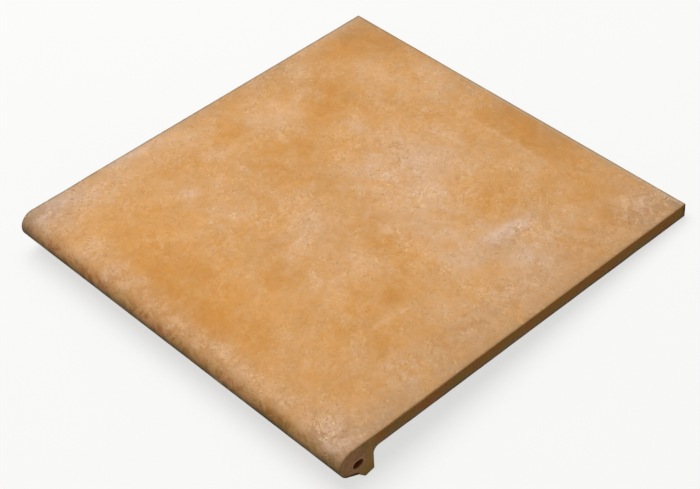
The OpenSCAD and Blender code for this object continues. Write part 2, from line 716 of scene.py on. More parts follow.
def nose_angle():
    """
    How far round the nosing each point is, in degrees: 0 on the flat face, 90 at the front
    and about 180 on the chin. A turn from 0 to 360 would give the flat face over 270.
    """
    across = nose_centre[0] - tile_points[:, 1]
    above = tile_points[:, 2] - nose_centre[1]
    turn = np.degrees(np.arctan2(across, above)) % 360
    return np.where(turn > 270, 0, turn)


def rolled_out(turned):
    """Each point's y, with the round front rolled out flat: the angle times the radius."""
    round_y = nose_centre[0] - nose_radius * np.radians(turned)
    return np.where(turned > 0, round_y, tile_points[:, 1])


turned = nose_angle()
place_x = tile_points[:, 0]
place_y = rolled_out(turned)
face_y = tile_points[:, 1]
face_z = tile_points[:, 2]
front_depth = -place_y[face_z > nose_centre[1]].min()
print("rolled-out depth to the front, mm:", round(float(front_depth), 1))

# %% Soft marks
# Marks of the round front end between these two angles, where the chin begins.
CHIN_NEAR = 125
CHIN_REACHED = 165


def round_front(low, high):
    """A rise round the front of the nosing between two angles, gone again by the chin."""
    return smooth_step(low, high, turned) * smooth_step(CHIN_REACHED, CHIN_NEAR, turned)


def mark(x, y, half_x, half_y, strength, turn=0.0, power=2):
    """
    A soft ellipse on the rolled-out face: its strength in the middle, falling off as a bell
    whose half sizes are in millimetres, turned by so many degrees. A higher power gives the
    bell a flat top and a firm edge.
    """
    angle = math.radians(turn)
    dx = place_x - x
    dy = place_y - y
    u = np.abs(dx * math.cos(angle) + dy * math.sin(angle)) / half_x
    v = np.abs(dy * math.cos(angle) - dx * math.sin(angle)) / half_y
    return strength * np.exp(-(u**power + v**power))


def fading(distance, reach):
    """An exponential fall with the distance: 1 on the edge, and about a third at its reach."""
    return np.exp(-distance / reach)


def paint(name, values):
    """Stores one number for each point of the tile as an attribute of its mesh."""
    layer = tile_mesh.attributes.new(name, "FLOAT", "POINT")
    layer.data.foreach_set("value", values.astype(np.float32))
    print(name, "from", round(float(values.min()), 2), "to", round(float(values.max()), 2))


# %% Where the dust lies pale
# x, y and half sizes in millimetres, the strength, and a turn in degrees where there is one.
PALE = [
    (88, -13, 16, 8, 0.26), (115, -20, 20, 12, 0.12), (68, -43, 32, 9, 0.22, 4),
    (70, -58, 24, 9, 0.08), (138, -74, 12, 12, 0.16), (152, -60, 10, 6, 0.20),
    (182, -76, 24, 15, 0.18, 10), (165, -105, 34, 22, 0.29), (194, -120, 20, 17, 0.16),
    (145, -132, 18, 22, 0.16), (205, -138, 30, 14, 0.16), (168, -92, 24, 14, 0.08),
    (260, -101, 6, 18, 0.76, -8), (258, -121, 8, 15, 0.26), (262, -143, 12, 12, 0.20),
    (245, -155, 24, 14, 0.20, -20), (240, -132, 18, 14, 0.18), (283, -100, 5, 11, 0.24),
    (284, -119, 9, 9, 0.28), (296, -128, 16, 20, 0.20), (282, -72, 12, 18, 0.12),
    (271, -115, 7, 16, 0.10), (298, -102, 10, 10, 0.12), (41, -97, 5, 9, 0.22),
    (20, -82, 9, 9, 0.16), (45, -128, 22, 19, 0.29), (102, -98, 14, 9, 0.20),
    (20, -195, 18, 16, 0.26), (52, -187, 7, 11, 0.20), (158, -192, 20, 12, 0.24, -10),
    (164, -212, 7, 8, 0.24), (172, -224, 7, 7, 0.14), (198, -164, 5, 6, 0.24),
    (208, -200, 24, 12, 0.14), (195, -150, 24, 10, 0.08), (208, -228, 18, 14, 0.10),
    (113, -222, 9, 9, 0.17), (100, -230, 18, 16, 0.12), (70, -233, 6, 7, 0.32),
    (263, -220, 4, 16, 0.20), (285, -192, 14, 14, 0.14), (292, -255, 6, 26, 0.18, 3),
    (4, -232, 9, 26, 0.34), (22, -258, 14, 30, 0.16), (22, -290, 20, 13, 0.28),
    (6, -309, 12, 15, 0.60), (312, -26, 16, 14, 0.24), (50, -312, 30, 8, 0.10),
    (237, -272, 4, 18, 0.10), (62, -240, 16, 12, 0.06),
    # Worn streaks that run over the crest of the nosing.
    (93, -322, 4, 10, 0.44), (200, -319, 14, 5, 0.16), (272, -322, 5, 10, 0.20),
    (318, -3, 9, 2, 0.50), (310, -322, 16, 16, 0.26), (320, -329, 11, 7, 0.30),
    (10, -325, 14, 12, 0.50), (135, -324, 26, 6, 0.08),
    # Dust that has lodged along the edges.
    (3, -30, 5, 32, 0.32), (2, -215, 5, 40, 0.12), (325, -312, 7, 20, 0.28),
    (255, -8, 20, 8, 0.12), (3, -322, 5, 10, 0.16),
]

# %% Where the fire turned the clay deep golden
# x, y and half sizes in millimetres, and the strength.
DEEP = [
    (16, -24, 18, 22, 0.24), (42, -12, 26, 11, 0.24), (24, -50, 12, 16, 0.20),
    (246, -20, 34, 18, 0.14), (36, -36, 8, 8, 0.08), (56, -80, 26, 13, 0.20),
    (70, -110, 12, 24, 0.20), (92, -138, 16, 20, 0.10), (88, -168, 30, 13, 0.16),
    (36, -166, 9, 12, 0.16), (226, -86, 22, 18, 0.15), (214, -174, 30, 10, 0.16),
    (248, -206, 16, 14, 0.18), (273, -238, 13, 16, 0.18), (246, -258, 18, 12, 0.15),
    (230, -228, 14, 10, 0.06), (178, -252, 14, 16, 0.14), (130, -288, 62, 13, 0.22),
    (180, -302, 28, 10, 0.18), (120, -304, 34, 6, 0.12), (172, -314, 46, 9, 0.20),
    (217, -298, 26, 12, 0.12), (8, -140, 12, 14, 0.08), (306, -80, 12, 22, 0.12),
    (258, -62, 10, 9, 0.10), (298, -42, 16, 12, 0.16), (264, -38, 14, 12, 0.10),
    (290, -282, 16, 20, 0.08), (66, -266, 22, 12, 0.08), (300, -220, 14, 16, 0.08),
    (38, -208, 10, 16, 0.12), (160, -240, 14, 10, 0.08), (150, -275, 30, 8, 0.06),
    (140, -302, 56, 8, 0.08), (165, -14, 150, 14, 0.04), (96, -297, 30, 8, 0.10),
    (232, -312, 14, 6, 0.12),
]

# %% Paint the dust
MIDDLE_DUST = 0.385
# How much stronger every patch is than its number in the lists.
CONTRAST = 1.06
LEFT_EDGE_DUST = 0.30
LEFT_EDGE_REACH = 4
BARE_ROUND = 0.25


def dust_amount():
    """
    How much of the dusty colour shows, from 0 for bare deep ochre to 1 for dust: the middle
    value, plus the pale patches, less the deep ones, plus what lies along the left edge,
    less the lower half of the round.
    """
    amount = np.full(len(tile_points), MIDDLE_DUST)
    for patch in PALE:
        amount += CONTRAST * mark(*patch)
    for patch in DEEP:
        amount -= CONTRAST * mark(*patch)
    # The tile that lay on this one in the kiln left a straight shadow near the back, with a
    # pale line along its front.
    amount -= mark(190, -15, 38, 17, 0.26, power=10)
    amount += mark(155, -33.5, 84, 1.6, 0.12)
    amount += LEFT_EDGE_DUST * fading(place_x, LEFT_EDGE_REACH)
    return amount - BARE_ROUND * round_front(42, 62)


paint("dust", dust_amount())

# %% Paint the warmth
MIDDLE_WARMTH = 0.52
# x, y, half sizes and strength of the slow swings between orange, above 0, and olive.
WARMTH = [
    (110, -285, 110, 45, 0.26), (60, -190, 70, 80, 0.10), (70, -42, 70, 14, 0.10),
    (185, -278, 36, 8, 0.12), (4, -332, 10, 12, 0.40), (10, -307, 20, 22, -0.40),
    (165, -88, 42, 34, -0.22), (275, -112, 34, 46, -0.28),
    (290, -200, 30, 60, -0.10), (235, -15, 60, 16, -0.10), (22, -20, 22, 16, -0.16),
]
paint("warmth", sum((mark(*place) for place in WARMTH), MIDDLE_WARMTH))

# %% [markdown]
# The border of the face is greyer than the rest. The fire reaches it from two sides, and
# hands, straps and neighbouring tiles rub the dust off it. The mask is highest on the edge and
# falls off exponentially, slowly along the ends and fast along the back. Round the lower front
# of the nosing it rises again, and there its grey is painted shade, as is the darker band
# below it. The arrises carry a dark line of painted shade about a millimetre wide, weaker on
# the right, and beside the rear one the dust has lodged in a pale line. The crest and the
# corners are scuffed, and the round front is knocked and rubbed where it was carried and
# stacked.

# %% Paint the grey border and the round front


def border_amount():
    """
    The grey border: falls off with the distance from each edge, and rises round the lower
    front of the nosing, where it is painted shade.
    Masks are joined by multiplying what each of them leaves clean.
    """
    from_left = place_x
    from_right = width - place_x
    from_back = -face_y
    reach = np.clip(1 + 0.45 * unevenness(tile_points, 18, 60, seed=61), 0.3, None)
    right = 0.64 * fading(from_right, 14 * reach) + mark(322, -294, 12, 16, 0.28)
    left = 0.50 * fading(from_left, 12 * reach) + 0.20 * fading(from_left, 1.5)
    rear = 0.45 * fading(from_back, 4 * reach) + 0.25 * fading(from_back, 20 * reach)
    right = right * smooth_step(-0.2, 0.9, from_right)
    edges = 1 - (1 - right) * (1 - left) * (1 - rear)
    # Round the lower front of the nosing the grey is painted shade.
    front = 0.9 * round_front(74, 98)
    corner_grey = mark(0, -334, 12, 15, 0.95) + mark(320, -5.6, 10, 3.0, 0.95)
    corner_grey += mark(320, -13, 12, 6, 0.30) + mark(6, -105, 8, 16, 0.28)
    return 1 - (1 - edges) * (1 - front) * (1 - corner_grey)


paint("border", border_amount())
# Painted shade: a darker band where the round of the nosing turns down.
paint("shade", round_front(80, 100))
paint("round", round_front(34, 62))

# %% Paint the scuffs
# x, y, half sizes and strength of the places that shoes and hands have scuffed.
SCUFFED = [
    (316, -322, 24, 14, 0.84), (10, -318, 18, 22, 0.65), (165, -323, 170, 10, 0.48),
    (314, -24, 20, 24, 0.75), (93, -322, 7, 10, 0.30), (308, -150, 13, 140, 0.42),
    (261, -108, 9, 28, 0.50), (165, -105, 34, 30, 0.22), (160, -196, 26, 14, 0.20),
]


def scuff_amount():
    """Where the face is mottled by scuffs: the sum of the places, and never over 1."""
    amount = sum(mark(*place) for place in SCUFFED)
    return np.clip(amount * smooth_step(92, 60, turned), 0, 1)


paint("scuffs", scuff_amount())

# %% Paint the arrises


def arris_shade():
    """Painted shade along the left and rear arrises: a bell of the distance from each edge."""
    return np.maximum(0.97 * bell(place_x, 1.05), 0.75 * bell(face_y, 1.2))


def rear_line():
    """The pale line beside the rear arris, which starts some way from the left end."""
    return 0.42 * bell(face_y + 1.9, 0.9) * smooth_step(60, 130, place_x)


def right_arris_shade():
    """Weaker painted shade on the right arris, fading out where it is worn behind the nosing."""
    # Less painted shade where the arris is worn back behind the nosing.
    clean = 0.9 * bell(face_y - WORN_Y, 30)
    return 0.64 * bell(width - place_x, 1.3) * (1 - clean)


# The arris and right arris attributes are dark lines of painted shade; the rear line is pale dust.
paint("arris", arris_shade())
paint("rear line", rear_line())
paint("right arris", right_arris_shade())

# %% Paint the shade in the bore


def bore_depth():
    """How far inside its bore each point of the bore is, in millimetres, and 0 elsewhere."""
    depth = np.zeros(len(tile_points))
    own = slice(bore_first, bore_first + bore_size[0] * bore_size[1])
    depth[own] = np.minimum(place_x, width - place_x)[own]
    return depth


# Painted shade: the bore's wall darkens from its mouths inwards.
paint("bore", smooth_step(-1.2, 2.6, bore_depth()) * (bore_depth() > 0))

# %% [markdown]
# The wire cut is not one colour either. Near the walking face it is as golden as the face,
# and towards the bed it turns greyer, as dust from the kiln shelf settles there. The thick
# end of the nosing is paler, pinkish on the round and olive on the lip. A faint pale ring
# stands round the bore, a millimetre outside it. A dark rim of painted shade runs along the
# lower edge of the end, under the chin, and up its rear corner.

# %% Paint the cut ends


def nose_pinkness():
    """1 on the round end of the nosing, falling off towards the lip and the neck."""
    from_middle = np.hypot(face_y + 320.5, face_z + 11.5)
    return smooth_step(14.5, 8.5, from_middle)


def bore_ring():
    """A pale ring a millimetre outside the bore: a bell of the distance from its oval."""
    return bell(clearance(tile_points[:, 1:], core) - 1.0, 0.5)


def end_rim_shade():
    """Painted shade on the rim of an end: dark along the bed and the chin, and up the rear corner.
    """
    behind_lip = smooth_step(lip_back_y + 1, lip_back_y + 40, face_y)
    low = 0.85 * smooth_step(-9.2, -11.2, face_z) * behind_lip
    rear = 0.95 * smooth_step(-3.4, -1.2, face_y)
    toe_rim = 0.5 * smooth_step(toe[1] + 2.2, toe[1] + 0.4, face_z)
    chin_out = np.array([-math.sin(chin_slope), -math.cos(chin_slope)])
    above_chin = -(tile_points[:, 1:] - chin_start) @ chin_out
    chin_rim = 1.7 * smooth_step(2.6, 0.5, above_chin) * (face_y < drip_break[0])
    return np.max([low, rear, toe_rim, chin_rim], axis=0)


paint("greyness", smooth_step(-3.5, -9.5, face_z))
paint("nose", smooth_step(-300, -306, face_y))
paint("pinkness", nose_pinkness())
paint("ring", bore_ring())
# The edge attribute is painted shade on the rim of each end.
paint("edge", end_rim_shade())

# %% [markdown]
# ## Effects that the three finishes share
#
# All three finishes are the same clay, so they share its grain, its dust and its drag
# lines. Each effect is built once as a node group, with sockets for what differs, and is
# then placed in each material with its own values. The groups give out only masks, values
# and heights. The shader itself stays in each material, where the exporter can read it.

# %% Nodes and their sockets


def add(tree, kind, **settings):
    """A new node with its settings, and its inputs where a setting names one."""
    made = tree.nodes.new(kind)
    for name, value in settings.items():
        if hasattr(made, name) and name not in made.inputs:
            setattr(made, name, value)
        else:
            made.inputs[name].default_value = value
    return made


def feed(tree, value, socket):
    """Gives a socket its value, which is a link if it comes from another node."""
    if isinstance(value, bpy.types.NodeSocket):
        tree.links.new(value, socket)
    else:
        socket.default_value = value


# %% Arithmetic with sockets and numbers


def maths(tree, operation, first, second=None, clamp=False):
    """The socket of one operation. Each side is a number or a socket."""
    made = tree.nodes.new("ShaderNodeMath")
    made.operation = operation
    made.use_clamp = clamp
    feed(tree, first, made.inputs[0])
    if second is not None:
        feed(tree, second, made.inputs[1])
    return made.outputs[0]


def plus(tree, total, *parts):
    """The socket of a sum."""
    for part in parts:
        total = maths(tree, "ADD", total, part)
    return total


def times(tree, product, *parts):
    """The socket of a product."""
    for part in parts:
        product = maths(tree, "MULTIPLY", product, part)
    return product


def between(tree, value, low, high):
    """The socket of a smooth rise from 0 at low to 1 at high, or a fall if low is above."""
    made = add(tree, "ShaderNodeMapRange", interpolation_type="SMOOTHSTEP", clamp=True)
    feed(tree, value, made.inputs["Value"])
    feed(tree, low, made.inputs["From Min"])
    feed(tree, high, made.inputs["From Max"])
    return made.outputs["Result"]


# %% Noises


def noise(tree, vector, scale, detail, roughness, distortion=0.0):
    """The value socket of a fractal noise, with about as many features a metre as its scale."""
    made = add(tree, "ShaderNodeTexNoise", Detail=detail, Roughness=roughness)
    feed(tree, vector, made.inputs["Vector"])
    feed(tree, scale, made.inputs["Scale"])
    feed(tree, distortion, made.inputs["Distortion"])
    return made.outputs["Fac"]


def swing(tree, value, size):
    """The socket of a noise value turned into a swing to both sides of nothing."""
    return times(tree, maths(tree, "SUBTRACT", value, 0.5), size)


# %% Node groups


def group(name, inputs, outputs):
    """An empty node group with its sockets: inputs are (name, kind, value), outputs names."""
    tree = bpy.data.node_groups.new(name, "ShaderNodeTree")
    for socket_name, kind, value in inputs:
        socket = tree.interface.new_socket(socket_name, in_out="INPUT", socket_type=kind)
        if value is not None:
            socket.default_value = value
    for socket_name in outputs:
        tree.interface.new_socket(socket_name, in_out="OUTPUT", socket_type="NodeSocketFloat")
    start = tree.nodes.new("NodeGroupInput")
    end = tree.nodes.new("NodeGroupOutput")
    return tree, start.outputs, end.inputs


def give_out(tree, wanted, **values):
    """Feeds the outputs of a group by their names."""
    for name, value in values.items():
        feed(tree, value, wanted[name])


# %% [markdown]
# The clay's own grain has four parts. A slow noise leans the colour to orange or to olive.
# Grog, the crushed brick in the clay, shows as pale flecks about a millimetre across, which
# come in clusters. And where a grain fell out, there is a small pit, whose dark colour is
# painted shade. Round spots would look like confetti, so both are the tops of a fine noise,
# which gives each one an odd shape. The sponge that wiped the wet clay left curls of slip,
# each with a groove beside it, whose darker colour on the walking face is painted shade.
# They are contour lines of a noise: a curl where it passes one level, a groove where it
# passes the next. A second noise breaks them into short strokes, so that they don't look
# like lace.

# %% Grain of the clay


def line(tree, value, level, half):
    """1 where a noise passes a level and 0 beyond half the line's width to both sides of it."""
    off = maths(tree, "ABSOLUTE", maths(tree, "SUBTRACT", value, level))
    return maths(tree, "SUBTRACT", 1.0, between(tree, off, 0.0, half))


def flecks_and_pits(tree, place):
    """Masks of the grog, in clusters, and of the pits: the tops of two fine noises."""
    cluster = between(tree, noise(tree, place, 40.0, 3.0, 0.7), 0.44, 0.62)
    fleck = between(tree, noise(tree, place, 480.0, 2.0, 0.6, 1.2), 0.62, 0.72)
    pit = between(tree, noise(tree, place, 480.0, 2.0, 0.6, 0.8), 0.62, 0.71)
    return times(tree, fleck, cluster), pit


def curls_and_grooves(tree, place):
    """Masks of two contour lines of one noise, where the sponge wiped, in short strokes."""
    contour = noise(tree, place, 150.0, 2.0, 0.5, 1.6)
    patches = between(tree, noise(tree, place, 48.0, 3.0, 0.8), 0.42, 0.62)
    skips = between(tree, noise(tree, place, 260.0, 1.0, 0.5), 0.42, 0.56)
    strokes = times(tree, patches, skips)
    return [times(tree, line(tree, contour, level, 0.060), strokes) for level in (0.54, 0.44)]


def clay_grain_group():
    """Tone, flecks, pits, wiped curls with their grooves, and a height, from a position."""
    inputs = [("Vector", "NodeSocketVector", None), ("Cloud Scale", "NodeSocketFloat", 16.0)]
    outputs = ["Tone", "Fleck", "Pit", "Curl", "Groove", "Height"]
    tree, given, wanted = group("clay grain", inputs, outputs)
    place = given["Vector"]
    cloud = noise(tree, place, given["Cloud Scale"], 5.0, 0.95)
    fleck, pit = flecks_and_pits(tree, place)
    curl, groove = curls_and_grooves(tree, place)
    grit = noise(tree, place, 1000.0, 3.0, 0.7)
    raised = plus(tree, grit, times(tree, fleck, 0.3), times(tree, curl, 0.5))
    height = plus(tree, raised, times(tree, groove, -0.5), times(tree, pit, -0.6))
    give_out(tree, wanted, Tone=cloud, Fleck=fleck, Pit=pit)
    give_out(tree, wanted, Curl=curl, Groove=groove, Height=height)
    return tree


clay_grain = clay_grain_group()
print("nodes in the clay grain:", len(clay_grain.nodes))

# %% [markdown]
# Dust lies in clouds, the clouds curdle into blots a centimetre wide, and where it is thick
# it breaks up into crumbs. So the amount painted on the mesh is swung by a broad noise, then
# by a closer one, and last by a fine one that grows with the amount and comes in clusters.

# %% Dust with a ragged edge


def dust_group():
    """A mask for dust: the amount painted on the mesh, made cloudy and then crumbly."""
    inputs = [
        ("Vector", "NodeSocketVector", None),
        ("Amount", "NodeSocketFloat", 0.4),
        ("Clouds", "NodeSocketFloat", 0.5),
        ("Curds", "NodeSocketFloat", 0.3),
        ("Crumbs", "NodeSocketFloat", 0.5),
    ]
    tree, given, wanted = group("ragged dust", inputs, ["Mask"])
    place = given["Vector"]
    clouds = swing(tree, noise(tree, place, 44.0, 3.0, 0.95, 0.3), given["Clouds"])
    curds = swing(tree, noise(tree, place, 92.0, 2.0, 0.8, 0.8), given["Curds"])
    amount = plus(tree, given["Amount"], clouds, curds)
    crumbs = swing(tree, noise(tree, place, 230.0, 3.0, 0.9, 0.9), given["Crumbs"])
    cluster = between(tree, noise(tree, place, 30.0, 3.0, 0.75), 0.46, 0.62)
    cluster = plus(tree, times(tree, cluster, 1.9), 0.2)
    crumbs = times(tree, crumbs, plus(tree, amount, 0.45), cluster)
    give_out(tree, wanted, Mask=maths(tree, "ADD", amount, crumbs, clamp=True))
    return tree


ragged_dust = dust_group()
print("nodes in the ragged dust:", len(ragged_dust.nodes))

# %% Drag lines


def drag_group():
    """Fine lines along one axis, where a wire or a die dragged grains over wet clay."""
    inputs = [
        ("Vector", "NodeSocketVector", None),
        ("Stretch", "NodeSocketVector", (1.0, 1.0, 1.0)),
        ("Fineness", "NodeSocketFloat", 400.0),
    ]
    tree, given, wanted = group("drag lines", inputs, ["Tone", "Height"])
    scaled = add(tree, "ShaderNodeVectorMath", operation="MULTIPLY")
    feed(tree, given["Vector"], scaled.inputs[0])
    feed(tree, given["Stretch"], scaled.inputs[1])
    lines = noise(tree, scaled.outputs[0], given["Fineness"], 3.0, 0.65)
    give_out(tree, wanted, Tone=lines, Height=between(tree, lines, 0.35, 0.7))
    return tree


drag_lines = drag_group()
print("nodes in the drag lines:", len(drag_lines.nodes))

# %% [markdown]
# ## The three finishes
#
# Each material starts from the colour of the clay and lays one mark over another, the real
# ones the way they came on the tile: first the fire's ochre and the dust, then the scuffs, the
# rubbed front and the worn border, then painted shade along the arrises and under the round,
# and last what sits in the surface, the wiped curls, the flecks and the pits, with the grooves
# and pits painted dark as shade. Clay has no gloss, but dust is duller than the bare flashed
# face, so the roughness follows the dust. The face was wiped crosswise before it dried, so the
# position that its grain reads is drawn out a little in that direction.

# %% Colours
# The lamps are over full strength, so the paint is under it by the same share.
PAINT_STRENGTH = 0.81


def srgb(red, green, blue):
    """A colour given as screen values from 0 to 255, as the linear colour nodes expect."""
    shares = np.array([red, green, blue]) / 255
    linear = np.where(shares <= 0.04045, shares / 12.92, ((shares + 0.055) / 1.055) ** 2.4)
    return (*(PAINT_STRENGTH * linear).tolist(), 1.0)


def blend(tree, mask, under, over):
    """The colour socket of one colour laid over another where a mask is."""
    made = tree.nodes.new("ShaderNodeMix")
    made.data_type = "RGBA"
    # A mix node keeps its factor within 0 and 1, so no mask has to be clamped before it.
    for number, value in zip((0, 6, 7), (mask, under, over)):
        feed(tree, value, made.inputs[number])
    return made.outputs[2]


def lay(tree, under, mask, tone, strength=1.0):
    """The colour socket of a plain screen colour laid over another colour where a mask is."""
    return blend(tree, times(tree, mask, strength), under, srgb(*tone))


def ramp(tree, amount, low, high):
    """
    The colour socket of a ramp between two screen colours. Nodes blend light, not screen
    values, so stops at every fifth keep the ramp even to the eye.
    """
    made = tree.nodes.new("ShaderNodeValToRGB")
    stops = made.color_ramp.elements
    for fifth in (1, 2, 3, 4):
        stops.new(fifth / 5)
    low, high = np.array(low), np.array(high)
    for stop in stops:
        stop.color = srgb(*(low + (high - low) * stop.position))
    feed(tree, amount, made.inputs["Fac"])
    return made.outputs["Color"]


# %% Parts that every material has


def painted(tree, name):
    """The value socket of an attribute of the mesh."""
    made = tree.nodes.new("ShaderNodeAttribute")
    made.attribute_name = name
    return made.outputs["Fac"]


def place_group(tree, shared, vector, **values):
    """One of the shared groups placed in a material, with its own values."""
    made = tree.nodes.new("ShaderNodeGroup")
    made.node_tree = shared
    feed(tree, vector, made.inputs["Vector"])
    for name, value in values.items():
        feed(tree, value, made.inputs[name.replace("_", " ")])
    return made.outputs


def clay_material(name):
    """A new material with its shader, and the position in metres that its nodes read."""
    material = bpy.data.materials.new(name)
    material.use_nodes = True
    tree = material.node_tree
    shader = tree.nodes["Principled BSDF"]
    shader.inputs["Specular IOR Level"].default_value = 0.25
    place = tree.nodes.new("ShaderNodeTexCoord").outputs["Object"]
    tile_mesh.materials.append(material)
    return tree, shader, place


def wiped(tree, place, angle, stretch):
    """The position with one direction drawn out, as a sponge draws out what it wipes."""
    made = add(tree, "ShaderNodeMapping", vector_type="TEXTURE")
    made.inputs["Rotation"].default_value = (0.0, 0.0, math.radians(angle))
    made.inputs["Scale"].default_value = (stretch, 1.0, 1.0)
    feed(tree, place, made.inputs["Vector"])
    return made.outputs["Vector"]


def finish_surface(tree, shader, colour, roughness, height, depth):
    """Feeds the colour, the roughness, and a bump of the given depth in metres."""
    bump = add(tree, "ShaderNodeBump", Distance=depth, Strength=1.0)
    feed(tree, height, bump.inputs["Height"])
    feed(tree, bump.outputs["Normal"], shader.inputs["Normal"])
    feed(tree, roughness, shader.inputs["Roughness"])
    feed(tree, colour, shader.inputs["Base Color"])


# %% Fire, scuffs and rubbing on the walking face


def fired(tree, place, tone, dust):
    """The clay's ochre with its dust, leaning to orange or to olive where the fire did that."""
    olive = ramp(tree, dust, (191, 134, 66), (218, 186, 163))
    orange = ramp(tree, dust, (211, 142, 55), (238, 193, 154))
    slow = noise(tree, place, 14.0, 2.0, 0.6)
    warm = plus(tree, painted(tree, "warmth"), swing(tree, tone, 2.0), swing(tree, slow, 0.6))
    return blend(tree, warm, olive, orange)


def scuffed(tree, colour, across, scuffs):
    """The colour, mottled brown and pale where shoes and hands have scuffed it."""
    mottle = between(tree, noise(tree, across, 84.0, 4.0, 0.85, 0.6), 0.40, 0.60)
    mottled = blend(tree, mottle, srgb(168, 122, 86), srgb(224, 188, 158))
    return blend(tree, times(tree, scuffs, 0.64), colour, mottled)


def rubbed(tree, colour, place, knocks):
    """The colour, knocked dark or rubbed pale round the front, each reddish or olive."""
    lean = plus(tree, noise(tree, place, 45.0, 3.0, 0.7), swing(tree, painted(tree, "warmth"), 0.4))
    red = between(tree, lean, 0.40, 0.60)
    dark = blend(tree, red, srgb(142, 107, 44), srgb(170, 96, 47))
    pale = blend(tree, red, srgb(220, 180, 116), srgb(240, 178, 128))
    front = blend(tree, between(tree, knocks, 0.40, 0.60), dark, pale)
    return blend(tree, times(tree, painted(tree, "round"), 0.55), colour, front)


# %% Edges and fine marks of the walking face


def edged(tree, colour, place, knocks):
    """The colour with the worn grey border, and painted shade on the arrises and under the round.
    """
    # The grey border is worn on the edges and painted shade round the lower front of the nosing.
    worn = between(tree, noise(tree, place, 130.0, 4.0, 0.8), 0.15, 0.62)
    colour = lay(tree, colour, times(tree, painted(tree, "border"), worn), (163, 133, 101))
    colour = lay(tree, colour, painted(tree, "rear line"), (200, 190, 168))
    # Dark lines of painted shade along the left, rear and right arrises.
    colour = lay(tree, colour, painted(tree, "arris"), (100, 92, 62))
    colour = lay(tree, colour, painted(tree, "right arris"), (140, 98, 54))
    # Painted shade: a darker band where the round of the nosing turns down.
    shade = times(tree, painted(tree, "shade"), between(tree, knocks, 0.62, 0.40))
    return lay(tree, colour, shade, (124, 106, 46))


def finely_marked(tree, colour, grain, dust, shown):
    """The colour with the sponge's curls, painted shade in its grooves and pits, and the flecks."""
    colour = lay(tree, colour, times(tree, shown, 0.74, grain["Curl"]), (246, 205, 154))
    # The grooves beside the curls are painted darker: painted shade.
    colour = lay(tree, colour, times(tree, shown, 0.60, grain["Groove"]), (160, 112, 66))
    flecks = times(tree, grain["Fleck"], plus(tree, dust, 0.25))
    colour = lay(tree, colour, flecks, (255, 214, 152), 0.66)
    # The pits are painted dark: painted shade.
    pits = times(tree, grain["Pit"], plus(tree, dust, 0.30))
    return lay(tree, colour, pits, (168, 104, 46), 0.48)


# %% The walking face


def walking_face_material():
    """Ochre clay under a bloom of pale dust, with a greyer border and a scuffed round front."""
    tree, shader, place = clay_material("flashed walking face")
    across = wiped(tree, place, 135.0, 1.15)
    grain = place_group(tree, clay_grain, across, Cloud_Scale=34.0)
    amount = painted(tree, "dust")
    sizes = {"Clouds": 0.74, "Curds": 0.52, "Crumbs": 0.74}
    dust = place_group(tree, ragged_dust, across, Amount=amount, **sizes)["Mask"]
    scuffs = painted(tree, "scuffs")
    knocks = noise(tree, place, 70.0, 5.0, 0.85, 1.0)
    shown = plus(tree, dust, times(tree, scuffs, 0.4))
    colour = fired(tree, place, grain["Tone"], dust)
    colour = scuffed(tree, colour, across, scuffs)
    colour = rubbed(tree, colour, place, knocks)
    colour = edged(tree, colour, place, knocks)
    colour = finely_marked(tree, colour, grain, dust, shown)
    # Dust and scuffs are dull, and the bare flashed clay between them has a faint sheen.
    roughness = plus(tree, times(tree, shown, 0.22), 0.66)
    finish_surface(tree, shader, colour, roughness, grain["Height"], 0.00012)
    return tree


print("nodes of the walking face:", len(walking_face_material().nodes))

# %% The cut ends


def cut_slab(tree, place, tone):
    """The slab's part of an end: golden above and greyer below, flashed red and olive."""
    grey = plus(tree, painted(tree, "greyness"), swing(tree, tone, 1.2))
    slab = ramp(tree, grey, (194, 132, 52), (178, 143, 98))
    flashes = noise(tree, place, 55.0, 3.0, 0.7, 0.6)
    slab = lay(tree, slab, between(tree, flashes, 0.50, 0.64), (200, 118, 66), 0.6)
    return lay(tree, slab, between(tree, flashes, 0.50, 0.36), (166, 138, 70), 0.6)


def cut_nose(tree, place):
    """The nosing's part of an end: pinkish on the round and olive on the lip, smudged."""
    nose = blend(tree, painted(tree, "pinkness"), srgb(204, 158, 88), srgb(212, 156, 108))
    smudge = between(tree, noise(tree, place, 75.0, 4.0, 0.8, 0.8), 0.47, 0.62)
    return lay(tree, nose, smudge, (150, 114, 72), 0.4)


def cut_end_material():
    """The sandy surface that the wire left on the two ends, with a rim of painted shade."""
    tree, shader, place = clay_material("wire cut end")
    grain = place_group(tree, clay_grain, place, Cloud_Scale=60.0)
    lines = place_group(tree, drag_lines, place, Stretch=(1.0, 1.0, 0.15), Fineness=500.0)
    slab = cut_slab(tree, place, grain["Tone"])
    colour = blend(tree, painted(tree, "nose"), slab, cut_nose(tree, place))
    colour = lay(tree, colour, painted(tree, "ring"), (224, 184, 140), 0.45)
    colour = lay(tree, colour, lines["Tone"], (150, 104, 58), 0.2)
    colour = lay(tree, colour, grain["Fleck"], (232, 196, 152), 0.5)
    # The pits are painted dark: painted shade.
    colour = lay(tree, colour, grain["Pit"], (96, 66, 36), 0.6)
    # Painted shade on the rim of the end: dark along the bed, the chin and the rear corner.
    patchy = plus(tree, between(tree, noise(tree, place, 45.0, 4.0, 0.75), 0.36, 0.60), 0.2)
    colour = lay(tree, colour, times(tree, painted(tree, "edge"), patchy), (52, 44, 24))
    roughness = plus(tree, times(tree, lines["Tone"], 0.16), 0.82)
    height = plus(tree, grain["Height"], times(tree, lines["Height"], 0.5))
    finish_surface(tree, shader, colour, roughness, height, 0.0002)
    return tree


print("nodes of the cut ends:", len(cut_end_material().nodes))

# %% The raw back


